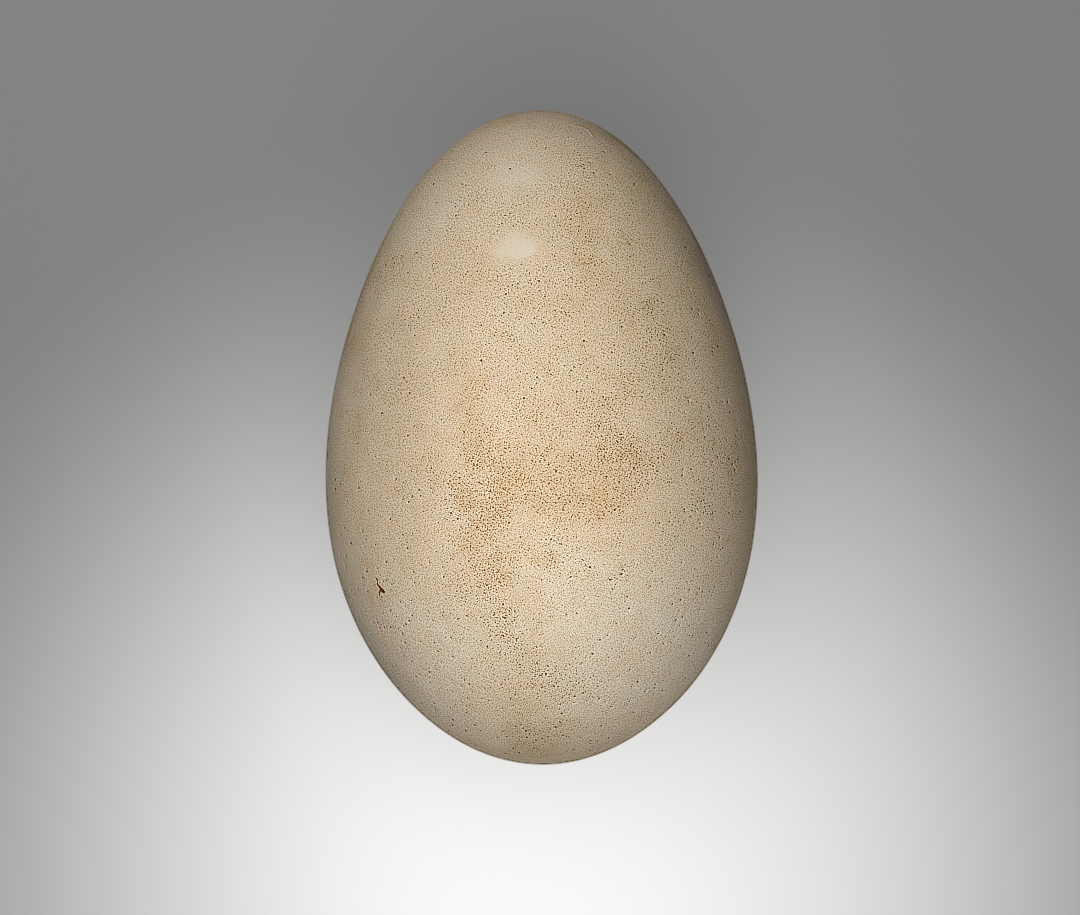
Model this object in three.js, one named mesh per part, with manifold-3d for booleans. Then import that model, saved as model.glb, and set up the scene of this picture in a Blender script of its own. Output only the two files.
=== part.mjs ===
// A stork egg lying on its side, as one closed solid, in millimetres with +Z up.
//
// The shell is a surface of revolution about the egg's long axis. It lies the way an egg settles on a
// table: the narrow end points along +Y and dips until the centre of mass is straight above the point
// of contact. The shell is flattened there by a fraction of a millimetre, so the egg rests on a small
// flat spot and doesn't roll. The origin is the middle of that spot.

import * as THREE from "three";
import { mergeVertices } from "three/addons/utils/BufferGeometryUtils.js";
import Module from "manifold-3d";

// Driving dimensions
const EGG_LENGTH = 66.0; // from pole to pole
const EGG_BREADTH = 43.6; // across the widest section
const FLAT_DEPTH = 0.2; // thickness of shell that the resting spot takes away

// Outline: an ellipse whose radius is multiplied by 1 + TAPER c + FULLNESS c² + POINTING c³, where c is
// the cosine of the angle from the narrow pole. A negative taper makes that pole the narrow one.
const TAPER = -0.146;
const FULLNESS = -0.0224;
const POINTING = 0.0771;

// Facets
const OUTLINE_STEPS = 40; // along the outline, from pole to pole
const SECTORS = 64; // around the long axis
const FINE_STEPS = 4000; // for measuring the outline, finer than the facets

const SHELL_COLOUR = 0xcdb593;
const SHELL_ROUGHNESS = 0.75;

// Radius at an angle from the narrow pole, as a multiple of the ellipse's half breadth.
function relativeRadius(angle) {
  const c = Math.cos(angle);
  return Math.sin(angle) * (1 + c * (TAPER + c * (FULLNESS + c * POINTING)));
}

// Points (radius, distance along the axis) from the blunt pole to the narrow one.
function outline(steps) {
  const angles = Array.from({ length: steps + 1 }, (_, i) => Math.PI * (1 - i / steps));
  const widest = Math.max(...angles.map(relativeRadius));
  const radiusScale = EGG_BREADTH / 2 / widest;
  const points = angles.map(
    (angle) =>
      new THREE.Vector2(radiusScale * relativeRadius(angle), (EGG_LENGTH / 2) * Math.cos(angle)),
  );
  points[0].x = 0;
  points[steps].x = 0;
  return points;
}

// Centre of mass of the solid of revolution, as a distance along the axis.
function centreOfMass(points) {
  let volume = 0;
  let moment = 0;
  for (let i = 1; i < points.length; i++) {
    const radius = (points[i].x + points[i - 1].x) / 2;
    const slice = radius * radius * (points[i].y - points[i - 1].y);
    volume += slice;
    moment += (slice * (points[i].y + points[i - 1].y)) / 2;
  }
  return moment / volume;
}

// An egg lies on the point of its shell that is nearest to its centre of mass. The result is how far the
// narrow end dips, in radians, and the height of the centre of mass above the point of contact.
function restingPose(points, balance) {
  const arms = points.map((point) => new THREE.Vector2(point.x, point.y - balance));
  const shortest = arms.reduce((best, arm) => (arm.length() < best.length() ? arm : best));
  return { dip: Math.atan2(shortest.y, shortest.x), height: shortest.length() };
}

const wasm = await Module();
wasm.setup();

function solidFrom(geometry) {
  geometry.deleteAttribute("normal");
  geometry.deleteAttribute("uv");
  const merged = mergeVertices(geometry);
  return new wasm.Manifold(
    new wasm.Mesh({
      numProp: 3,
      vertProperties: merged.attributes.position.array,
      triVerts: new Uint32Array(merged.index.array),
    }),
  );
}

function geometryFrom(solid) {
  const mesh = solid.getMesh();
  const geometry = new THREE.BufferGeometry();
  geometry.setAttribute("position", new THREE.BufferAttribute(mesh.vertProperties, 3));
  geometry.setIndex(new THREE.BufferAttribute(mesh.triVerts, 1));
  geometry.computeVertexNormals();
  return geometry;
}

// The egg, with its axis along Y before it is laid down at the given height and dip.
function makeEgg() {
  const finePoints = outline(FINE_STEPS);
  const balance = centreOfMass(finePoints);
  const { dip, height } = restingPose(finePoints, balance);

  const egg = new THREE.Mesh();
  egg.name = "egg";
  egg.material = new THREE.MeshStandardMaterial({
    color: SHELL_COLOUR,
    roughness: SHELL_ROUGHNESS,
    metalness: 0,
  });
  egg.position.set(0, 0, height - FLAT_DEPTH);
  egg.rotation.x = -dip;
  egg.updateMatrix();

  const shell = new THREE.LatheGeometry(outline(OUTLINE_STEPS), SECTORS);
  shell.translate(0, -balance, 0);
  const table = new THREE.BoxGeometry(EGG_LENGTH, EGG_LENGTH, EGG_LENGTH);
  table.translate(0, 0, -EGG_LENGTH / 2);
  table.applyMatrix4(egg.matrix.clone().invert());
  egg.geometry = geometryFrom(solidFrom(shell).subtract(solidFrom(table)));
  return egg;
}

const part = new THREE.Group();
part.add(makeEgg());

export default part;
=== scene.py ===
# The looks of a stork egg that lies on its side: a dense shell with real pores and small scars, and its
# stained, speckled finish. Lengths are in metres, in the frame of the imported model.

import math

import bpy
import numpy as np
from mathutils import Matrix, Vector, noise
from mathutils.geometry import delaunay_2d_cdt
from mathutils.kdtree import KDTree


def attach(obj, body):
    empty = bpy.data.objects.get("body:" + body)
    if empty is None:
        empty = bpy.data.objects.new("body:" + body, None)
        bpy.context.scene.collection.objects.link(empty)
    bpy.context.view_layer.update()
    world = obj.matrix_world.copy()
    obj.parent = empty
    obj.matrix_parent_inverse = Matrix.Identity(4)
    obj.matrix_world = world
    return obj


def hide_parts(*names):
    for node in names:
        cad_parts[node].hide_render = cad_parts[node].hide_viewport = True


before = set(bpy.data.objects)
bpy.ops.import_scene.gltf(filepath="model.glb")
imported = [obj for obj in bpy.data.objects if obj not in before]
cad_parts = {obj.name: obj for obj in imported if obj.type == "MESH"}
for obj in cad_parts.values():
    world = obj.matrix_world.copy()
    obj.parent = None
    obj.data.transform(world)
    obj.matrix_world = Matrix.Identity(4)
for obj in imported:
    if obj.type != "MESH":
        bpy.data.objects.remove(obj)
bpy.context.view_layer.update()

MM = 0.001
GOLDEN_TURN = math.pi * (3 - math.sqrt(5))
SEED = 7
randoms = np.random.default_rng(SEED)

# Outline of the shell, as in the CAD model
EGG_LENGTH = 66.0 * MM
EGG_BREADTH = 43.6 * MM
FLAT_DEPTH = 0.2 * MM
TAPER = -0.146
FULLNESS = -0.0224
POINTING = 0.0771
FINE_STEPS = 4000
HALF_LENGTH = EGG_LENGTH / 2

# The picture, in pixels, and how the egg lies in it. The camera's sensor is in millimetres.
PICTURE_WIDTH = 1080
PICTURE_HEIGHT = 915
PIXEL = 0.1009 * MM
EGG_MIDDLE = (541.35, 437.4)
EGG_LEAN = math.radians(0.61)
CAMERA_DISTANCE = 0.8
SENSOR_WIDTH = 36.0
AIMING_STEPS = 12

# Mesh of the shell. Each ring of a pore has its share of the radius, its number of points and its share of
# the depth.
EVEN_POINTS = 60000
PORES_TRIED = 9000
PORE_RADIUS = 0.095 * MM
PORE_SPREAD = 0.28
PORE_RADIUS_RANGE = (0.07 * MM, 0.14 * MM)
PORE_DEPTH = 0.2
PORE_SPACING = 0.45 * MM
PORE_CROWDING = (0.06, 0.60)
PORE_DARKNESS = (0.28, 0.75)
BLUNT_END_CROWDING = 0.40
PORE_RINGS = ((0.0, 1, 1.0), (0.62, 6, 0.8), (1.0, 8, 0.0))
CLEAR_OF_POLES = 1.0 * MM
CLEAR_OF_FINE_POINTS = 0.24 * MM

# Unevenness of the shell: wavelength, height and octaves, and how much weaker and finer each octave is
SWELLS = ((14.0 * MM, 0.050 * MM, 2), (2.6 * MM, 0.004 * MM, 2))
OCTAVE_FALL = 1.0
OCTAVE_STEP = 2.0


# Shell of revolution, about Y with the narrow pole at +Y, its middle at the origin and +Z up
def fullness_at(cosine):
    return 1 + cosine * (TAPER + cosine * (FULLNESS + cosine * POINTING))


def relative_radius(angle):
    return np.sin(angle) * fullness_at(np.cos(angle))


fine_angles = np.linspace(0, math.pi, FINE_STEPS + 1)
RADIUS_SCALE = EGG_BREADTH / 2 / relative_radius(fine_angles).max()
fine_radii = RADIUS_SCALE * relative_radius(fine_angles)
fine_axial = HALF_LENGTH * np.cos(fine_angles)
fine_speed = np.hypot(np.gradient(fine_radii, fine_angles), np.gradient(fine_axial, fine_angles))
area_shares = np.cumsum(fine_radii * fine_speed)
area_shares /= area_shares[-1]


def shell_points(angle, turn):
    radius = RADIUS_SCALE * relative_radius(angle)
    return np.stack([radius * np.sin(turn), HALF_LENGTH * np.cos(angle), radius * np.cos(turn)], axis=-1)


def shell_normals(angle, turn):
    cosine = np.cos(angle)
    sine = np.sin(angle)
    slope = TAPER + cosine * (2 * FULLNESS + cosine * 3 * POINTING)
    along = RADIUS_SCALE * (cosine * fullness_at(cosine) - sine * sine * slope)
    outward = HALF_LENGTH * sine
    length = np.hypot(along, outward)
    outward = outward / length
    return np.stack([outward * np.sin(turn), along / length, outward * np.cos(turn)], axis=-1)


def angles_of(points):
    cosine = np.clip(points[..., 1] / HALF_LENGTH, -1, 1)
    across = np.hypot(points[..., 0], points[..., 2]) / (RADIUS_SCALE * fullness_at(cosine))
    return np.arctan2(across, points[..., 1] / HALF_LENGTH), np.arctan2(points[..., 0], points[..., 2])


# How the egg lies: on the point of its shell nearest to its centre of mass, flattened there
def resting_pose():
    slices = fine_radii**2 * np.abs(np.gradient(fine_axial))
    balance = (slices * fine_axial).sum() / slices.sum()
    arms = np.hypot(fine_radii, fine_axial - balance)
    nearest = arms.argmin()
    dip = math.atan2(fine_axial[nearest] - balance, fine_radii[nearest])
    height = arms[nearest] - FLAT_DEPTH
    return (
        Matrix.Translation((0, 0, height))
        @ Matrix.Rotation(-dip, 4, "X")
        @ Matrix.Translation((0, -balance, 0))
    )


EGG_POSE = resting_pose()

# The camera looks at right angles to the long axis. Its place is given in the shell's own frame.
IMAGE_RIGHT = Vector((math.cos(EGG_LEAN), -math.sin(EGG_LEAN), 0))
IMAGE_UP = Vector((math.sin(EGG_LEAN), math.cos(EGG_LEAN), 0))


def on_middle_plane(pixel):
    right = (pixel[0] - EGG_MIDDLE[0]) * PIXEL
    up = (EGG_MIDDLE[1] - pixel[1]) * PIXEL
    return IMAGE_RIGHT * right + IMAGE_UP * up


CAMERA_PLACE = on_middle_plane((PICTURE_WIDTH / 2, PICTURE_HEIGHT / 2)) + Vector((0, 0, CAMERA_DISTANCE))


# The point of the shell that a pixel of the picture shows
def shell_at_pixel(pixel):
    start = on_middle_plane(pixel)
    height = 0.0
    for _ in range(AIMING_STEPS):
        place = start.lerp(CAMERA_PLACE, height / CAMERA_DISTANCE)
        angle = math.acos(max(-1.0, min(1.0, place.y / HALF_LENGTH)))
        radius = RADIUS_SCALE * float(relative_radius(angle))
        height = math.sqrt(max(radius**2 - place.x**2, 0.0))
    return np.array((place.x, place.y, height))


# Patches: the pixel at the middle, half width across the egg and half height along it, and strength
OCHRE_STAINS = {
    "upper half of the left band": ((461, 395), (1.5 * MM, 4.6 * MM), 0.40),
    "lower half of the left band": ((469, 455), (1.9 * MM, 4.0 * MM), 0.30),
    "left of the middle": ((500, 472), (2.2 * MM, 4.0 * MM), 0.25),
    "tongue below the left band": ((497, 560), (2.6 * MM, 4.6 * MM), 0.38),
    "middle": ((545, 500), (4.4 * MM, 2.6 * MM), 0.40),
    "darkest, right of the middle": ((598, 484), (2.6 * MM, 2.6 * MM), 0.70),
    "above the darkest": ((630, 449), (2.8 * MM, 2.0 * MM), 0.25),
    "right end of the middle stain": ((640, 500), (3.4 * MM, 3.2 * MM), 0.28),
    "whole middle": ((545, 470), (10.0 * MM, 8.0 * MM), 0.18),
    "streak near the narrow end": ((582, 212), (1.2 * MM, 3.0 * MM), 0.40),
    "lower part of that streak": ((578, 256), (0.9 * MM, 2.8 * MM), 0.50),
    "right shoulder": ((694, 290), (2.0 * MM, 3.0 * MM), 0.15),
    "left shoulder": ((368, 330), (2.0 * MM, 6.0 * MM), 0.30),
    "left edge": ((352, 470), (2.0 * MM, 6.0 * MM), 0.25),
    "upper left": ((461, 252), (2.4 * MM, 1.6 * MM), 0.30),
    "below the middle": ((606, 545), (2.4 * MM, 1.4 * MM), 0.25),
    "lower right of the middle": ((607, 622), (2.2 * MM, 2.2 * MM), 0.12),
    "small streak at the upper left": ((476, 199), (0.6 * MM, 1.3 * MM), 0.45),
    "rim of the narrow end": ((503, 122), (2.4 * MM, 0.8 * MM), 0.45),
    "upper left edge": ((385, 250), (2.5 * MM, 7.0 * MM), 0.12),
    "around the scar": ((377, 588), (1.3 * MM, 2.2 * MM), 0.45),
    "lower middle": ((521, 655), (2.2 * MM, 2.0 * MM), 0.12),
    "blunt end": ((540, 752), (2.6 * MM, 2.4 * MM), 0.30),
}
OLIVE_STAINS = {
    "streak near the narrow end": ((588, 232), (2.8 * MM, 7.5 * MM), 0.70),
    "below that streak": ((610, 300), (4.5 * MM, 5.0 * MM), 0.40),
    "right of the narrow end": ((640, 185), (5.0 * MM, 6.0 * MM), 0.70),
    "upper right": ((650, 280), (7.0 * MM, 9.0 * MM), 0.32),
    "right shoulder": ((696, 305), (3.4 * MM, 7.0 * MM), 0.28),
    "right side": ((665, 385), (7.0 * MM, 6.0 * MM), 0.40),
    "right edge": ((745, 450), (5.0 * MM, 9.0 * MM), 0.45),
    "right rim": ((751, 440), (2.5 * MM, 14.0 * MM), 0.45),
    "lower right rim": ((733, 600), (3.0 * MM, 7.0 * MM), 0.45),
    "above the middle": ((570, 350), (5.5 * MM, 5.0 * MM), 0.20),
    "middle": ((560, 455), (8.0 * MM, 6.0 * MM), 0.40),
    "upper left": ((440, 276), (5.0 * MM, 2.4 * MM), 0.40),
    "left shoulder": ((360, 335), (2.5 * MM, 3.4 * MM), 0.40),
    "left side": ((400, 430), (6.0 * MM, 12.0 * MM), 0.25),
    "below the left band": ((495, 588), (3.0 * MM, 3.0 * MM), 0.15),
    "lower middle": ((512, 655), (3.2 * MM, 4.0 * MM), 0.10),
    "streak to the blunt end": ((530, 710), (2.0 * MM, 4.0 * MM), 0.50),
    "blunt end": ((540, 750), (4.0 * MM, 3.0 * MM), 0.62),
}
PALE_PATCHES = {
    "oval spot": ((520, 248), (2.1 * MM, 1.3 * MM), 0.95),
    "narrow end": ((510, 165), (7.0 * MM, 6.0 * MM), 0.12),
    "smooth spot at the narrow end": ((520, 172), (2.6 * MM, 1.6 * MM), 0.38),
    "left of the narrow end": ((430, 222), (4.0 * MM, 3.0 * MM), 0.30),
    "above the middle": ((515, 330), (2.2 * MM, 2.2 * MM), 0.30),
    "right above the middle": ((562, 380), (1.6 * MM, 1.2 * MM), 0.40),
    "below the middle": ((562, 562), (4.8 * MM, 2.4 * MM), 0.85),
    "lower middle": ((585, 625), (5.0 * MM, 4.0 * MM), 0.60),
    "left of the lower middle": ((512, 622), (2.6 * MM, 3.2 * MM), 0.35),
    "lower right": ((660, 615), (6.0 * MM, 5.5 * MM), 0.75),
    "lower right edge": ((705, 640), (5.0 * MM, 8.0 * MM), 0.80),
    "right of the blunt end": ((610, 690), (5.0 * MM, 4.0 * MM), 0.75),
    "lower left": ((450, 650), (4.0 * MM, 4.5 * MM), 0.60),
    "lower left edge": ((372, 640), (3.0 * MM, 6.0 * MM), 0.50),
    "beside the scar": ((402, 608), (3.2 * MM, 3.0 * MM), 0.65),
    "left of the blunt end": ((425, 690), (4.5 * MM, 4.5 * MM), 0.70),
    "left of the middle": ((458, 503), (1.6 * MM, 2.0 * MM), 0.55),
}
DOTTED_PATCHES = {
    "left band": ((455, 500), (2.2 * MM, 4.0 * MM), 0.55),
    "left of the middle": ((492, 490), (2.6 * MM, 5.0 * MM), 0.75),
    "right of the middle": ((616, 456), (3.6 * MM, 4.4 * MM), 0.85),
    "middle": ((550, 495), (3.6 * MM, 2.0 * MM), 0.60),
    "whole middle": ((545, 465), (10.0 * MM, 8.0 * MM), 0.35),
    "tongue below the left band": ((495, 572), (3.0 * MM, 4.2 * MM), 0.70),
    "below the middle": ((565, 552), (2.4 * MM, 1.6 * MM), 0.40),
    "lower middle": ((512, 645), (3.0 * MM, 3.2 * MM), 0.35),
    "crowded pores above the blunt end": ((545, 682), (4.2 * MM, 2.0 * MM), 0.70),
    "blunt end": ((537, 737), (2.6 * MM, 2.6 * MM), 0.35),
    "right side": ((652, 455), (1.6 * MM, 3.0 * MM), 0.30),
    "lower right": ((697, 512), (2.2 * MM, 1.2 * MM), 0.40),
    "right edge": ((733, 457), (2.4 * MM, 2.2 * MM), 0.25),
    "whole right side": ((708, 450), (5.5 * MM, 10.0 * MM), 0.22),
    "upper half": ((540, 290), (9.0 * MM, 8.0 * MM), 0.22),
    "right above the middle": ((640, 360), (5.0 * MM, 5.0 * MM), 0.40),
    "streak near the narrow end": ((586, 235), (1.8 * MM, 5.0 * MM), 0.35),
    "left of the narrow end": ((465, 202), (1.2 * MM, 1.2 * MM), 0.45),
    "right of the narrow end": ((580, 166), (1.4 * MM, 1.0 * MM), 0.45),
}
# Painted shade: darker, greyer patches along the sides and rims of the egg, where the light falls off
PAINTED_SHADE_PATCHES = {
    "left side": ((392, 430), (5.5 * MM, 15.0 * MM), 0.40),
    "right shoulder": ((685, 335), (2.0 * MM, 5.0 * MM), 0.25),
    "right side": ((672, 440), (4.0 * MM, 13.0 * MM), 0.28),
    "right rim of the narrow end": ((628, 132), (5.0 * MM, 3.5 * MM), 1.0),
    "blunt end": ((548, 755), (8.0 * MM, 3.0 * MM), 0.65),
    "lower left rim": ((392, 668), (5.0 * MM, 8.0 * MM), 0.25),
    "lower right rim": ((712, 645), (2.6 * MM, 8.0 * MM), 0.30),
    "upper right": ((655, 235), (5.0 * MM, 7.0 * MM), 0.25),
}
SMOOTH_PATCHES = {
    "oval spot": ((520, 249), (2.1 * MM, 1.35 * MM), 1.0),
    "smooth spot at the narrow end": ((520, 172), (2.6 * MM, 1.5 * MM), 0.35),
    "narrow end": ((508, 146), (4.5 * MM, 3.0 * MM), 0.20),
    "left of the narrow end": ((440, 205), (2.6 * MM, 2.0 * MM), 0.25),
}
PATCHES = {
    "ochre": OCHRE_STAINS,
    "olive": OLIVE_STAINS,
    "pale": PALE_PATCHES,
    "dotted": DOTTED_PATCHES,
    "grime_and_shade": PAINTED_SHADE_PATCHES,
    "smooth": SMOOTH_PATCHES,
}

# Unseen patches: how many of each kind, their half sizes and strengths, and how far they may face upwards
HIDDEN_STAINS = {"ochre": 26, "olive": 26, "pale": 26, "dotted": 26, "grime_and_shade": 20, "smooth": 3}
HIDDEN_STAIN_SIZE = (1.8 * MM, 6.0 * MM)
HIDDEN_STAIN_STRENGTH = (0.25, 0.75)
HIDDEN_BELOW = 0.25

# Ragged edges of the patches
RAGGED_EDGE = 2.0
RAGGED_WAVELENGTH = 4.0 * MM
RAGGED_OCTAVES = 4
RAGGED_SHIFT = 5.0


def unseen_patches(count):
    found = []
    while len(found) < count:
        angle = np.interp(randoms.random(), area_shares, fine_angles)
        turn = randoms.uniform(-math.pi, math.pi)
        size = randoms.uniform(*HIDDEN_STAIN_SIZE, 2)
        strength = randoms.uniform(*HIDDEN_STAIN_STRENGTH)
        if shell_normals(angle, turn)[2] < HIDDEN_BELOW:
            found.append((shell_points(angle, turn), size, strength))
    return found


def placed_patches(patches):
    return [(shell_at_pixel(pixel), size, strength) for pixel, size, strength in patches.values()]


def wave(points, wavelength, octaves, shift=0.0):
    offset = Vector((shift, shift, shift))
    places = (Vector(point) / wavelength + offset for point in points)
    return np.array([noise.fractal(place, OCTAVE_FALL, OCTAVE_STEP, octaves) for place in places])


def ragged_edges(points):
    return wave(points, RAGGED_WAVELENGTH, RAGGED_OCTAVES, RAGGED_SHIFT)


# How strongly a set of patches covers each point, with ragged edges
def coverage(points, patches, ragged):
    bare = np.ones(len(points))
    for middle, (half_width, half_height), strength in patches:
        offset = points - middle
        along = offset[:, 1]
        across = np.hypot(offset[:, 0], offset[:, 2])
        reach = (across / half_width) ** 2 + (along / half_height) ** 2
        bare *= 1 - strength * np.exp(-reach * np.exp2(RAGGED_EDGE * ragged))
    return 1 - bare


# Scars and other small relief: points along the line, each a pixel and a half width in millimetres, then the
# height (below zero for a groove) and how strongly the red-brown of the scar colours it
SCARS = {
    "red-brown scar": (
        (
            (377.0, 584.2, 0.09),
            (379.0, 586.6, 0.125),
            (381.0, 589.4, 0.17),
            (382.6, 591.0, 0.23),
            (384.0, 591.8, 0.10),
        ),
        -0.06 * MM,
        0.95,
    ),
    "inside of the scar": (((379.4, 588.2, 0.12), (380.6, 591.0, 0.19)), -0.03 * MM, 0.65),
    "lower branch of the scar": (((379.3, 592.2, 0.11), (379.5, 595.2, 0.09)), -0.03 * MM, 0.80),
    "root of the lower branch": (((379.9, 589.8, 0.10), (379.3, 592.2, 0.08)), -0.02 * MM, 0.55),
    "left branch of the scar": (((376.6, 584.6, 0.06), (374.4, 584.6, 0.06)), -0.02 * MM, 0.26),
    "dash above the scar": (((376.1, 578.2, 0.07), (377.6, 580.2, 0.08)), -0.02 * MM, 0.85),
    "link above the scar": (((377.5, 581.6, 0.07), (377.2, 583.4, 0.07)), -0.02 * MM, 0.45),
    "left dot below the scar": (((377.5, 596.9, 0.07), (377.7, 597.4, 0.07)), -0.02 * MM, 0.50),
    "right dot below the scar": (((381.5, 596.7, 0.07), (381.5, 597.2, 0.07)), -0.02 * MM, 0.50),
    "lowest dot below the scar": (((380.3, 598.8, 0.07), (380.4, 599.3, 0.07)), -0.02 * MM, 0.45),
    "ridge at the narrow end": (
        ((573, 125.5, 0.10), (581, 127.0, 0.14), (588, 130, 0.14), (592, 135.5, 0.10)),
        0.05 * MM,
        0.0,
    ),
    "flake at the narrow end": (
        ((567, 138.5, 0.10), (570.5, 137.5, 0.16), (573.5, 138.5, 0.12)),
        0.045 * MM,
        0.0,
    ),
    "blister rim": (((420.5, 206.5, 0.10), (421.0, 203.5, 0.12), (423.5, 202.8, 0.08)), 0.035 * MM, 0.0),
    "curved line": (((477, 203, 0.08), (477.5, 212, 0.10), (480, 220, 0.07)), -0.02 * MM, 0.12),
    "long scratch": (((658, 561, 0.05), (675, 549, 0.05)), -0.02 * MM, 0.0),
    "short scratch": (((553, 616, 0.05), (559, 611, 0.05)), -0.02 * MM, 0.0),
    "middle scratch": (((550, 557, 0.05), (555, 549, 0.05)), -0.02 * MM, 0.0),
    "upper scratch": (((674, 354, 0.05), (684, 361, 0.05)), -0.02 * MM, 0.0),
}

# Mesh along a scar: steps, rows in half widths of the line, the smallest gap, and the reach of its relief
SCAR_STEP = 0.07 * MM
FEWEST_STEPS = 2
SCAR_ROWS = (-2.4, -1.6, -0.8, 0.0, 0.8, 1.6, 2.4)
LEAST_GAP = 0.05 * MM
SCAR_REACH = 4 * MM


# Distance to a line, as a multiple of the line's half width there
def distance_to_line(points, line, widths):
    nearest = np.full(len(points), np.inf)
    for start, end, first, last in zip(line, line[1:], widths, widths[1:]):
        span = end - start
        share = np.clip((points - start) @ span / (span @ span), 0, 1)
        distance = np.linalg.norm(points - start - share[:, None] * span, axis=1)
        nearest = np.minimum(nearest, distance / (first + share * (last - first)))
    return nearest


def scar_lines():
    lines = []
    for stops, height, colour in SCARS.values():
        line = np.array([shell_at_pixel(stop[:2]) for stop in stops])
        widths = np.array([stop[2] * MM for stop in stops])
        lines.append((line, widths, height, colour))
    return lines


# A point past the end of a line, as far as the outermost row is from its side
def past_end(start, end, width):
    span = end - start
    return end + span / np.linalg.norm(span) * width * SCAR_ROWS[-1]


# Points in rows along a line, so that the mesh can follow its relief
def points_along(line, widths):
    before = past_end(line[1], line[0], widths[0])
    beyond = past_end(line[-2], line[-1], widths[-1])
    line = np.concatenate([[before], line, [beyond]])
    widths = np.concatenate([widths[:1], widths, widths[-1:]])
    rows = []
    for start, end, first, last in zip(line, line[1:], widths, widths[1:]):
        span = end - start
        steps = max(FEWEST_STEPS, math.ceil(np.linalg.norm(span) / SCAR_STEP))
        share = np.arange(steps + 1)[:, None] / steps
        aside = np.cross(span, shell_normals(*angles_of(start)))
        aside = aside / np.linalg.norm(aside) * (first + share * (last - first))
        rows += [start + share * span + row * aside for row in SCAR_ROWS]
    return np.concatenate(rows)


def scar_points(lines):
    return np.concatenate([points_along(line, widths) for line, widths, _, _ in lines])


def even_points(count):
    share = (np.arange(count) + 0.5) / count
    return shell_points(np.interp(share, area_shares, fine_angles), np.arange(count) * GOLDEN_TURN)


def tree_of(points):
    tree = KDTree(len(points))
    for index, point in enumerate(points):
        tree.insert(point, index)
    tree.balance()
    return tree


# Keeps points that are no nearer to an earlier one than the spacing
def spaced(points, spacing):
    tree = tree_of(points)
    kept = np.zeros(len(points), bool)
    for index, point in enumerate(points):
        kept[index] = not any(kept[other] for _, other, _ in tree.find_range(point, spacing))
    return points[kept]


# Which points are farther than the spacing from all others
def clear_of(points, others, spacing):
    tree = tree_of(others)
    return np.array([tree.find(point)[2] > spacing for point in points])


# Middles of the pores, which crowd in dotted patches and towards the blunt end
def pore_middles(lines, dotted):
    shares = randoms.random(PORES_TRIED)
    turns = randoms.uniform(-math.pi, math.pi, PORES_TRIED)
    middles = shell_points(np.interp(shares, area_shares, fine_angles), turns)
    middles = middles[np.abs(middles[:, 1]) < HALF_LENGTH - CLEAR_OF_POLES]
    middles = spaced(middles, PORE_SPACING)
    middles = middles[clear_of(middles, scar_points(lines), PORE_SPACING)]
    crowding = np.interp(coverage(middles, dotted, ragged_edges(middles)), (0, 1), PORE_CROWDING)
    crowding += BLUNT_END_CROWDING * np.clip(-middles[:, 1] / HALF_LENGTH, 0, 1)
    return middles[randoms.random(len(middles)) < crowding]


# Pores: their ring points, how deep each point lies and how dark it is
def make_pores(lines, dotted):
    middles = pore_middles(lines, dotted)
    count = len(middles)
    radii = np.clip(PORE_RADIUS * np.exp(randoms.normal(0, PORE_SPREAD, count)), *PORE_RADIUS_RANGE)
    darkness = randoms.uniform(*PORE_DARKNESS, count)
    normals = shell_normals(*angles_of(middles))
    around = np.cross(normals, (0.0, 1.0, 0.0))
    around /= np.linalg.norm(around, axis=1)[:, None]
    along = np.cross(normals, around)
    points, sinks, darks = [], [], []
    for share, corners, depth in PORE_RINGS:
        for corner in range(corners):
            turn = 2 * math.pi * corner / corners
            aside = math.cos(turn) * around + math.sin(turn) * along
            points.append(middles + share * radii[:, None] * aside)
            sinks.append(PORE_DEPTH * depth * radii)
            darks.append(depth * darkness)
    return np.concatenate(points), np.concatenate(sinks), np.concatenate(darks)


# Flat, angle-true map of the shell: the blunt pole goes to infinity
def flat_map(angle, turn):
    inner = fine_angles[1:-1]
    stretch = fine_speed[1:-1] / (fine_radii[1:-1] / np.sin(inner))
    bend = np.cumsum((stretch - 1) / np.sin(inner)) * (fine_angles[1] - fine_angles[0])
    reach = np.tan(angle / 2) * np.exp(np.interp(angle, inner, bend))
    return np.stack([reach * np.sin(turn), reach * np.cos(turn)], axis=-1)


# Triangles over the shell's points. The last point is the blunt pole, which closes the outer ring.
TRIANGLES = 0
SAME_PLACE = 1e-12


def triangles_over(points):
    flat = [Vector(place) for place in flat_map(*angles_of(points[:-1]))]
    _, _, faces, _, _, _ = delaunay_2d_cdt(flat, [], [], TRIANGLES, SAME_PLACE, False)
    faces = np.array(faces)
    directed = set()
    for first, second, third in faces.tolist():
        directed.update(((first, second), (second, third), (third, first)))
    pole = len(points) - 1
    closing = [(second, first, pole) for first, second in directed if (second, first) not in directed]
    return np.concatenate([faces, np.array(closing)])


# Map for baking the finish: strips between two caps, each in a cell of its own
CAP_ARC = 17.0 * MM
STRIPS = 4
MAP_COLUMNS = 3
MAP_ROWS = 2
MAP_MARGIN = 0.025


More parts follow.
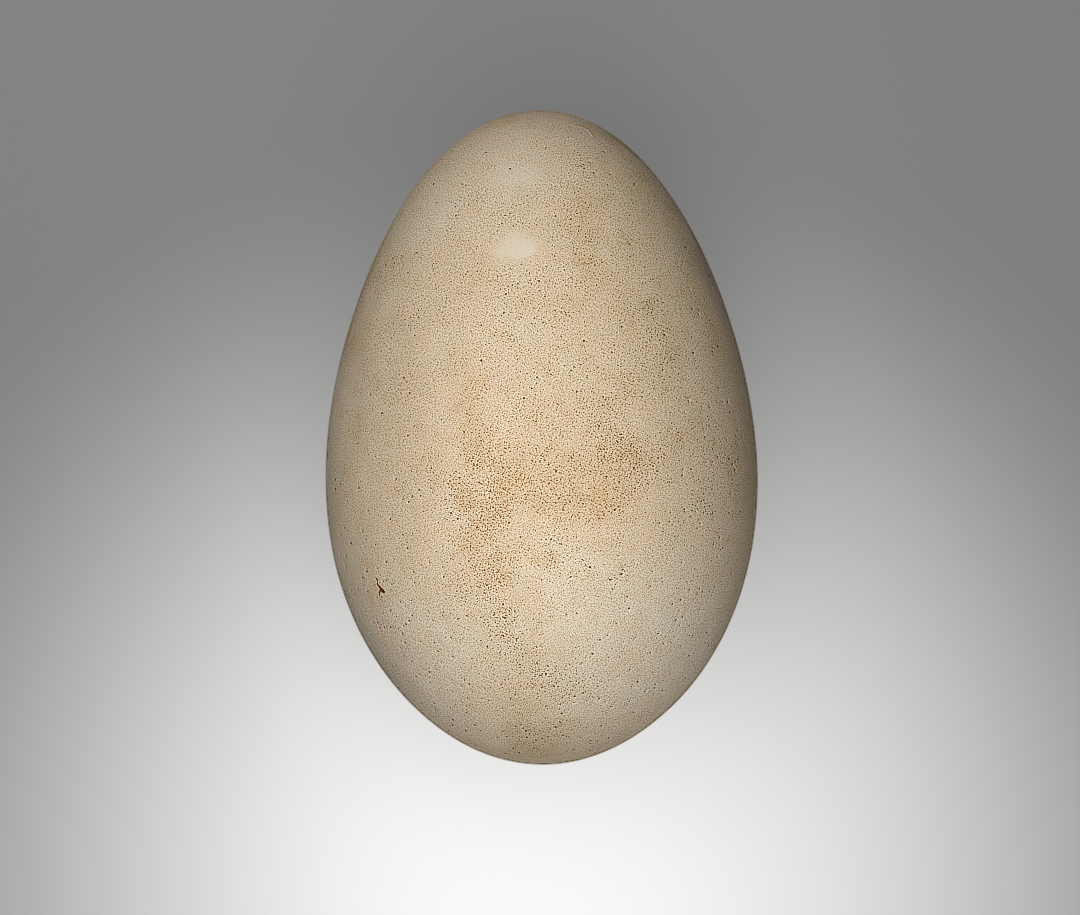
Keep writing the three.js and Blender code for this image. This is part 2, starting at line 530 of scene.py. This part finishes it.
def lay_map(mesh, faces, angle, turn):
    arcs = np.cumsum(fine_speed) * (fine_angles[1] - fine_angles[0])
    arc = np.interp(angle, fine_angles, arcs)[faces]
    turn = turn[faces]
    middle_turn = np.arctan2(np.sin(turn).mean(axis=1), np.cos(turn).mean(axis=1))
    strip_turn = 2 * math.pi / STRIPS
    cell = np.floor((middle_turn + math.pi) / strip_turn).clip(0, STRIPS - 1)
    aside = turn - ((cell + 0.5) * strip_turn - math.pi)[:, None]
    aside = (aside + math.pi) % (2 * math.pi) - math.pi
    across = 0.5 + aside / strip_turn
    along = (arc - CAP_ARC) / (arcs[-1] - 2 * CAP_ARC)
    for index, from_pole in ((STRIPS, arc), (STRIPS + 1, arcs[-1] - arc)):
        capped = from_pole.mean(axis=1) < CAP_ARC
        cell[capped] = index
        reach = from_pole[capped] / CAP_ARC / 2
        across[capped] = 0.5 + reach * np.sin(turn[capped])
        along[capped] = 0.5 + reach * np.cos(turn[capped]) * MAP_ROWS / MAP_COLUMNS
    across = MAP_MARGIN + (1 - 2 * MAP_MARGIN) * across + (cell % MAP_COLUMNS)[:, None]
    along = MAP_MARGIN + (1 - 2 * MAP_MARGIN) * along + (cell // MAP_COLUMNS)[:, None]
    places = np.stack([across / MAP_COLUMNS, along / MAP_ROWS], axis=-1)
    layer = mesh.uv_layers.new(name="OFBake")
    layer.uv.foreach_set("vector", places.astype(np.float32).ravel())


# Every point of the shell: the rings of the pores, and an even net that gives way to pores and scars. With
# them go how deep in a pore each point lies and how dark it is there.
def shell_layout(lines, dotted):
    pore_points, pore_sinks, pore_darks = make_pores(lines, dotted)
    line_points = spaced(scar_points(lines), LEAST_GAP)
    even = even_points(EVEN_POINTS)
    even = even[clear_of(even, np.concatenate([pore_points, line_points]), CLEAR_OF_FINE_POINTS)]
    poles = shell_points(np.array((0.0, math.pi)), np.zeros(2))
    plain = np.concatenate([even, line_points, poles])
    none = np.zeros(len(plain))
    points = np.concatenate([pore_points, plain])
    return points, np.concatenate([pore_sinks, none]), np.concatenate([pore_darks, none])


# Raises or sinks the points near the scars, and gives how strongly the red-brown colours each point
def add_scars(lines, points, lift):
    scar = np.zeros(len(points))
    for line, widths, height, colour in lines:
        near = np.flatnonzero(np.linalg.norm(points - line.mean(axis=0), axis=1) < SCAR_REACH)
        profile = np.exp(-(distance_to_line(points[near], line, widths) ** 2))
        lift[near] += height * profile
        scar[near] = np.maximum(scar[near], colour * profile)
    return scar


# Points of the shell as the egg lies, flat where it touches the floor
def as_it_lies(points):
    pose = np.array(EGG_POSE)
    world = points @ pose[:3, :3].T + pose[:3, 3]
    world[:, 2] = np.maximum(world[:, 2], 0.0)
    return world


def add_object(name, data):
    made = bpy.data.objects.new(name, data)
    bpy.context.scene.collection.objects.link(made)
    return made


def make_shell():
    lines = scar_lines()
    patches = {}
    for name, seen in PATCHES.items():
        patches[name] = placed_patches(seen) + unseen_patches(HIDDEN_STAINS[name])
    points, sinks, pore = shell_layout(lines, patches["dotted"])
    angle, turn = angles_of(points)
    points = shell_points(angle, turn)
    faces = triangles_over(points)

    lift = -sinks
    for wavelength, height, octaves in SWELLS:
        lift += height * wave(points, wavelength, octaves)
    ragged = ragged_edges(points)
    layers = {name: coverage(points, spots, ragged) for name, spots in patches.items()}
    layers["pore"] = pore
    layers["scar"] = add_scars(lines, points, lift)
    raised = points + lift[:, None] * shell_normals(angle, turn)

    mesh = bpy.data.meshes.new("eggshell")
    mesh.from_pydata(as_it_lies(raised).tolist(), [], faces.tolist())
    mesh.polygons.foreach_set("use_smooth", np.ones(len(faces), bool))
    for name, values in layers.items():
        layer = mesh.attributes.new(name, "FLOAT", "POINT")
        layer.data.foreach_set("value", values.astype(np.float32))
    lay_map(mesh, faces, angle, turn)
    mesh.update()
    return add_object("eggshell", mesh)


# Links or sets the inputs of a node
def feed(tree, node, inputs):
    for socket, value in inputs.items():
        if isinstance(value, bpy.types.NodeSocket):
            tree.links.new(value, node.inputs[socket])
        else:
            node.inputs[socket].default_value = value


def add_node(tree, kind, inputs, **settings):
    node = tree.nodes.new(kind)
    for name, value in settings.items():
        setattr(node, name, value)
    feed(tree, node, inputs)
    return node


# A material, with short forms for the nodes that it is made of
class Shader:
    def __init__(self, name):
        self.material = bpy.data.materials.new(name)
        self.material.use_nodes = True
        self.tree = self.material.node_tree
        coordinates = self.tree.nodes.new("ShaderNodeTexCoord").outputs
        self.place = coordinates["Object"]
        self.normal = coordinates["Normal"]

    def add(self, kind, inputs, **settings):
        return add_node(self.tree, kind, inputs, **settings).outputs

    def attribute(self, name):
        return self.add("ShaderNodeAttribute", {}, attribute_name=name)["Fac"]

    def clouds(self, size, detail, output="Fac"):
        pattern = {"Vector": self.place, "Scale": 1 / size, "Detail": detail}
        return self.add("ShaderNodeTexNoise", pattern)[output]

    def remap(self, value, source_range, target_range=(0.0, 1.0), easing="LINEAR"):
        inputs = {"Value": value}
        inputs.update(zip(("From Min", "From Max", "To Min", "To Max"), (*source_range, *target_range)))
        return self.add("ShaderNodeMapRange", inputs, interpolation_type=easing)["Result"]

    def calculate(self, operation, first, second):
        return self.add("ShaderNodeMath", {0: first, 1: second}, operation=operation)[0]

    def product(self, first, second):
        return self.calculate("MULTIPLY", first, second)

    def vector(self, operation, *operands, output="Vector"):
        return self.add("ShaderNodeVectorMath", dict(enumerate(operands)), operation=operation)[output]

    def split(self, kind, value):
        return self.add(kind, {0: value})

    def choose(self, amount, first, second):
        return self.add("ShaderNodeMix", {0: amount, 2: first, 3: second})[0]

    def mix(self, amount, first, second, blend="MIX"):
        inputs = {0: amount, 6: first, 7: second}
        return self.add("ShaderNodeMix", inputs, data_type="RGBA", blend_type=blend)[2]

    def finish(self, inputs):
        feed(self.tree, self.tree.nodes["Principled BSDF"], inputs)
        return self.material


# Colours of the shell, linear
ROSE = (0.643, 0.502, 0.362, 1)
SAGE = (0.609, 0.511, 0.366, 1)
CHALK = (0.652, 0.583, 0.458, 1)
OLIVE = (0.562, 0.440, 0.270, 1)
OCHRE = (0.581, 0.411, 0.236, 1)
DOT_TINT = (0.26, 0.14, 0.0, 1)
# Tint of the painted shade on the sides and rims, and of grime on the unseen side
GRIME_AND_SHADE_TINT = (0.80, 0.795, 0.79, 1)
PORE_BROWN = (0.07, 0.035, 0.015, 1)
SCAR_RED = (0.33, 0.17, 0.09, 1)
SCAR_BROWN = (0.060, 0.022, 0.009, 1)

# Clouds of the finish: their size and how much finer detail they have
MOTTLE = (2.0 * MM, 3.0)
PATCHY = (1.3 * MM, 3.0)
BLOOM = (2.4 * MM, 4.0)
BORDER = (0.20 * MM, 1.0)
BEND = (4.0 * MM, 0.0)
GRAIN = (0.15 * MM, 0.5)

# The range of each cloud that counts, and how strongly it works on what it makes uneven
MOTTLE_RANGE = (0.36, 0.64)
PATCHY_RANGE = (0.3, 0.7)
BLOOM_RANGE = (0.42, 0.75)
GRAIN_RANGE = (0.36, 0.64)
UNEVEN_PALE = (1.3, 0.7)
UNEVEN_OLIVE = (0.6, 1.4)
UNEVEN_OCHRE = (0.4, 1.6)
UNEVEN_SOIL = (0.85, 1.15)
BLOOM_STRENGTH = 0.30
BORDER_SHIFT = 0.08
BEND_REACH = 0.7 * MM
FLAT_TURN = math.radians(28)

# Smooth patches: where they are chalky and by how much, and where soil is missing and what is left of it
CHALKY_RANGE = (0.38, 0.66)
CHALKY_SHARE = 0.4
CLEAN_RANGE = (0.0, 0.6)
SOIL_LEFT = 0.15

# Grit, a close scatter of faint specks. Radii are shares of the spacing, and the dark core of the radius.
GRIT_SPACING = 0.20 * MM
GRIT_RANDOMNESS = 0.74
GRIT_RADIUS = (0.336, 0.483)
GRIT_CORE = 0.36
GRIT_FAINTEST = 0.8
GRIT_CLEAN = 0.36
GRIT_DOTTED = 0.10
GRIT_PALE = 0.04

# Dots, a looser scatter of smaller and darker specks, and the share of them that shows
DOT_SPACING = 0.275 * MM
DOT_RANDOMNESS = 0.95
DOT_RADIUS = (0.17, 0.28)
DOT_CORE = 0.5
DOT_SHARE = (0.38, 1.22)
DOT_SHARE_PALE = 0.04
DOT_SHARE_FULL = 0.9
DOT_FADE = 0.70

# Range of a pore's or a scar's strength over which each of its colours comes in
PORE_RANGE = (0.1, 0.6)
SCAR_RED_RANGE = (0.05, 0.45)
SCAR_BROWN_RANGE = (0.35, 0.85)

# Surface of the shell
ROUGHNESS = (0.66, 0.80)
SPECULAR = 0.15
GRAIN_HEIGHT = 0.4
BUMP_STRENGTH = 0.12
BUMP_DISTANCE = 0.02 * MM
WHOLE_RANGE = (0.0, 1.0)


# Colour of the shell beneath its grit and dots
def ground_colour(shader, patchy):
    def uneven(name, strengths):
        return shader.product(shader.attribute(name), shader.remap(patchy, PATCHY_RANGE, strengths))

    colour = shader.mix(shader.remap(shader.clouds(*MOTTLE), MOTTLE_RANGE), ROSE, SAGE)
    colour = shader.mix(uneven("pale", UNEVEN_PALE), colour, CHALK)
    colour = shader.mix(uneven("olive", UNEVEN_OLIVE), colour, OLIVE)
    bloom = shader.remap(shader.clouds(*BLOOM), BLOOM_RANGE, (0.0, BLOOM_STRENGTH))
    colour = shader.mix(shader.calculate("ADD", uneven("ochre", UNEVEN_OCHRE), bloom), colour, OCHRE)
    # Painted shade on the sides and rims, and grime on the unseen side
    colour = shader.mix(shader.attribute("grime_and_shade"), colour, GRIME_AND_SHADE_TINT, "MULTIPLY")
    chalky = shader.remap(shader.attribute("smooth"), CHALKY_RANGE, (0.0, CHALKY_SHARE))
    return shader.mix(chalky, colour, CHALK)


# Flat coordinates for the specks, on the plane that the shell faces most, bent and turned
def flat_coordinates(shader):
    facing = shader.vector("ABSOLUTE", shader.normal)
    to_x, to_y, to_z = shader.split("ShaderNodeSeparateXYZ", facing)
    at_x, at_y, at_z = shader.split("ShaderNodeSeparateXYZ", shader.place)
    shift = shader.remap(shader.clouds(*BORDER), PATCHY_RANGE, (-BORDER_SHIFT, BORDER_SHIFT))
    to_x = shader.calculate("ADD", to_x, shift)
    endways = shader.calculate("GREATER_THAN", to_y, shader.calculate("MAXIMUM", to_x, to_z))
    sideways = shader.calculate("GREATER_THAN", to_x, shader.calculate("MAXIMUM", to_y, to_z))
    plane = {0: shader.choose(sideways, at_x, at_z), 1: shader.choose(endways, at_y, at_z)}
    flat = shader.add("ShaderNodeCombineXYZ", plane)[0]
    flat = shader.vector("MULTIPLY_ADD", shader.clouds(*BEND, "Color"), (BEND_REACH, BEND_REACH, 0), flat)
    turned = {"Vector": flat, "Angle": FLAT_TURN}
    return shader.add("ShaderNodeVectorRotate", turned, rotation_type="Z_AXIS")[0]


# Scattered specks: how dark the speck is here, and a number drawn for each speck
def stipple(shader, flat, spacing, randomness, radius_range, core):
    pattern = {"Vector": flat, "Scale": 1 / spacing, "Randomness": randomness}
    cells = shader.add("ShaderNodeTexVoronoi", pattern, voronoi_dimensions="2D")
    sized, drawn, _ = shader.split("ShaderNodeSeparateColor", cells["Color"])
    radius = shader.remap(sized, WHOLE_RANGE, radius_range)
    reach = shader.calculate("DIVIDE", cells["Distance"], radius)
    return shader.remap(reach, (core, 1.0), (1.0, 0.0)), drawn


# How dark the grit is: all over the shell, and most of all in dotted patches
def make_grit(shader, flat, uneven, rough):
    soil = shader.remap(shader.attribute("dotted"), WHOLE_RANGE, (GRIT_CLEAN, GRIT_CLEAN + GRIT_DOTTED))
    soil = shader.calculate("SUBTRACT", soil, shader.product(shader.attribute("pale"), GRIT_PALE))
    soil = shader.product(shader.product(soil, uneven), rough)
    speck, drawn = stipple(shader, flat, GRIT_SPACING, GRIT_RANDOMNESS, GRIT_RADIUS, GRIT_CORE)
    strength = shader.remap(drawn, WHOLE_RANGE, (GRIT_FAINTEST, 1.0))
    return shader.product(speck, shader.product(soil, strength))


# How dark the dots are: more of them show, and show fully, in dotted patches
def make_dots(shader, flat, uneven, rough):
    speck, drawn = stipple(shader, flat, DOT_SPACING, DOT_RANDOMNESS, DOT_RADIUS, DOT_CORE)
    share = shader.remap(shader.attribute("dotted"), (0.0, DOT_SHARE_FULL), DOT_SHARE)
    share = shader.product(share, uneven)
    share = shader.calculate("SUBTRACT", share, shader.product(shader.attribute("pale"), DOT_SHARE_PALE))
    shown = shader.remap(shader.calculate("ADD", drawn, share), (1.0, 1.0 + DOT_FADE))
    return shader.product(speck, shader.product(shown, rough))


def eggshell_material():
    shader = Shader("eggshell")
    patchy = shader.clouds(*PATCHY)
    uneven = shader.remap(patchy, PATCHY_RANGE, UNEVEN_SOIL)
    rough = shader.remap(shader.attribute("smooth"), CLEAN_RANGE, (1.0, SOIL_LEFT))
    flat = flat_coordinates(shader)
    grit = make_grit(shader, flat, uneven, rough)
    dots = make_dots(shader, flat, uneven, rough)
    pore = shader.attribute("pore")
    scar = shader.attribute("scar")

    colour = ground_colour(shader, patchy)
    colour = shader.mix(grit, colour, DOT_TINT, "MULTIPLY")
    colour = shader.mix(dots, colour, DOT_TINT, "MULTIPLY")
    colour = shader.mix(shader.remap(pore, PORE_RANGE), colour, PORE_BROWN)
    colour = shader.mix(shader.remap(scar, SCAR_RED_RANGE), colour, SCAR_RED)
    colour = shader.mix(shader.remap(scar, SCAR_BROWN_RANGE), colour, SCAR_BROWN)

    grain = shader.product(shader.remap(shader.clouds(*GRAIN), GRAIN_RANGE), GRAIN_HEIGHT)
    relief = shader.calculate("SUBTRACT", grain, shader.calculate("ADD", dots, grit))
    bump = {"Height": relief, "Strength": BUMP_STRENGTH, "Distance": BUMP_DISTANCE}
    finish = {
        "Base Color": colour,
        "Roughness": shader.remap(patchy, PATCHY_RANGE, ROUGHNESS),
        "Specular IOR Level": SPECULAR,
        "Normal": shader.add("ShaderNodeBump", bump)["Normal"],
    }
    return shader.finish(finish)


shell = make_shell()
shell.data.materials.append(eggshell_material())
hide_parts("egg")
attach(shell, "root")

# Floor: a painted pool of light, where it glows and is paler around a place beside the egg, and a painted
# shadow beneath the egg, where the glow fades out by shares of the egg's half size
FLOOR_SIZE = 3.0
FLOOR_GLOW = (0, -0.05, 0)
FLOOR_GLOW_REACH = 0.085
FLOOR_GLOW_STRENGTH = 1.7
FLOOR_WHITE = (0.38, 0.38, 0.38, 1)
FLOOR_GREY = (0.085, 0.085, 0.085, 1)
FLOOR_ROUGHNESS = 0.9
FLOOR_SPECULAR = 0.1
PAINTED_SHADOW_UNDER_EGG = (0.2, 0.95)


def floor_material():
    shader = Shader("floor")
    # Painted pool of light: the floor's colour, and so its glow, is paler near FLOOR_GLOW and greyer away
    # from it
    away = shader.vector("DISTANCE", shader.place, FLOOR_GLOW, output="Value")
    away = shader.remap(away, (0.0, FLOOR_GLOW_REACH), easing="SMOOTHSTEP")
    painted_light_pool = shader.mix(away, FLOOR_WHITE, FLOOR_GREY)
    # Painted shadow beneath the egg: the glow fades out there, by shares of the egg's half size
    from_egg = shader.vector("MULTIPLY", shader.place, (1 / (EGG_BREADTH / 2), 1 / HALF_LENGTH, 0))
    from_egg = shader.vector("LENGTH", from_egg, output="Value")
    glow = shader.remap(from_egg, PAINTED_SHADOW_UNDER_EGG, (0.0, FLOOR_GLOW_STRENGTH), easing="SMOOTHSTEP")
    finish = {
        "Base Color": painted_light_pool,
        "Roughness": FLOOR_ROUGHNESS,
        "Specular IOR Level": FLOOR_SPECULAR,
        "Emission Color": painted_light_pool,
        "Emission Strength": glow,
    }
    return shader.finish(finish)


def make_floor():
    mesh = bpy.data.meshes.new("floor")
    half = FLOOR_SIZE / 2
    corners = [(-half, -half, 0), (half, -half, 0), (half, half, 0), (-half, half, 0)]
    mesh.from_pydata(corners, [], [(0, 1, 2, 3)])
    mesh.materials.append(floor_material())
    return add_object("floor", mesh)


make_floor()


def make_camera():
    data = bpy.data.cameras.new("camera")
    data.sensor_fit = "HORIZONTAL"
    data.sensor_width = SENSOR_WIDTH
    data.lens = SENSOR_WIDTH * CAMERA_DISTANCE / (PICTURE_WIDTH * PIXEL)
    camera = add_object("camera", data)
    axes = Matrix((IMAGE_RIGHT, IMAGE_UP, (0, 0, 1))).transposed().to_4x4()
    camera.matrix_world = EGG_POSE @ Matrix.Translation(CAMERA_PLACE) @ axes
    bpy.context.scene.camera = camera


make_camera()

# Light: one long soft box above the egg, placed and turned in the shell's own frame, and a weak even light
KEY_PLACE = (-0.015, -0.010, 0.16)
KEY_TURN = math.radians(15)
KEY_WIDTH = 0.10
KEY_LENGTH = 0.40
KEY_POWER = 0.515
AMBIENT = (0.05, 0.05, 0.05, 1)


def make_key_light():
    data = bpy.data.lights.new("key", "AREA")
    data.shape = "RECTANGLE"
    data.size = KEY_WIDTH
    data.size_y = KEY_LENGTH
    data.energy = KEY_POWER
    light = add_object("key", data)
    light.matrix_world = EGG_POSE @ Matrix.Translation(KEY_PLACE) @ Matrix.Rotation(KEY_TURN, 4, "Z")


def make_even_light():
    world = bpy.data.worlds.new("studio")
    world.use_nodes = True
    world.node_tree.nodes["Background"].inputs["Color"].default_value = AMBIENT
    bpy.context.scene.world = world


make_key_light()
make_even_light()
bpy.context.scene.view_settings.view_transform = "Standard"

# Sharpening of the finished picture where it is warm in colour, which the egg is and the floor isn't. Part
# of it works on each colour alone and part on all alike, and each has a limit to how dark it makes them.
SHARPENING = 0.29
GREY_SHARPENING = 0.085
DARKEST_SHARPENED = (0.42, 0.42, 0.42, 1)
DEEPEST_GREY = -0.30
COOLEST_SHARPENED = 0.85
WARM_STEEPNESS = 10.0
INNER_STEEPNESS = 4.0


def sharpen_picture():
    bpy.context.scene.use_nodes = True
    tree = bpy.context.scene.node_tree
    tree.nodes.clear()

    def calculate(operation, *operands, clamp=False):
        inputs = dict(enumerate(operands))
        return add_node(tree, "CompositorNodeMath", inputs, operation=operation, use_clamp=clamp).outputs[0]

    def filtered(kind, picture, amount=1.0):
        inputs = {"Fac": amount, "Image": picture}
        return add_node(tree, "CompositorNodeFilter", inputs, filter_type=kind).outputs[0]

    def blend(kind, first, second, amount=1.0):
        inputs = {0: amount, 1: first, 2: second}
        return add_node(tree, "CompositorNodeMixRGB", inputs, blend_type=kind).outputs[0]

    image = tree.nodes.new("CompositorNodeRLayers").outputs["Image"]
    red, green, blue, _ = add_node(tree, "CompositorNodeSeparateColor", {0: image}).outputs

    # Where the picture is warm, a little inside the outline of the egg
    cool = calculate("DIVIDE", blue, red)
    limit = WARM_STEEPNESS * COOLEST_SHARPENED
    warm = filtered("SOFTEN", calculate("MULTIPLY_ADD", cool, -WARM_STEEPNESS, limit, clamp=True))
    warm = calculate("MULTIPLY_ADD", warm, INNER_STEEPNESS, 1 - INNER_STEEPNESS, clamp=True)

    sharp = filtered("SHARPEN", image, SHARPENING)
    sharp = blend("LIGHTEN", sharp, blend("MULTIPLY", image, DARKEST_SHARPENED))
    change = calculate("SUBTRACT", filtered("SHARPEN", green, GREY_SHARPENING), green)
    change = calculate("MAXIMUM", change, calculate("MULTIPLY", blue, DEEPEST_GREY))
    sharp = blend("ADD", sharp, change)
    add_node(tree, "CompositorNodeComposite", {"Image": blend("MIX", image, sharp, warm)})


sharpen_picture()
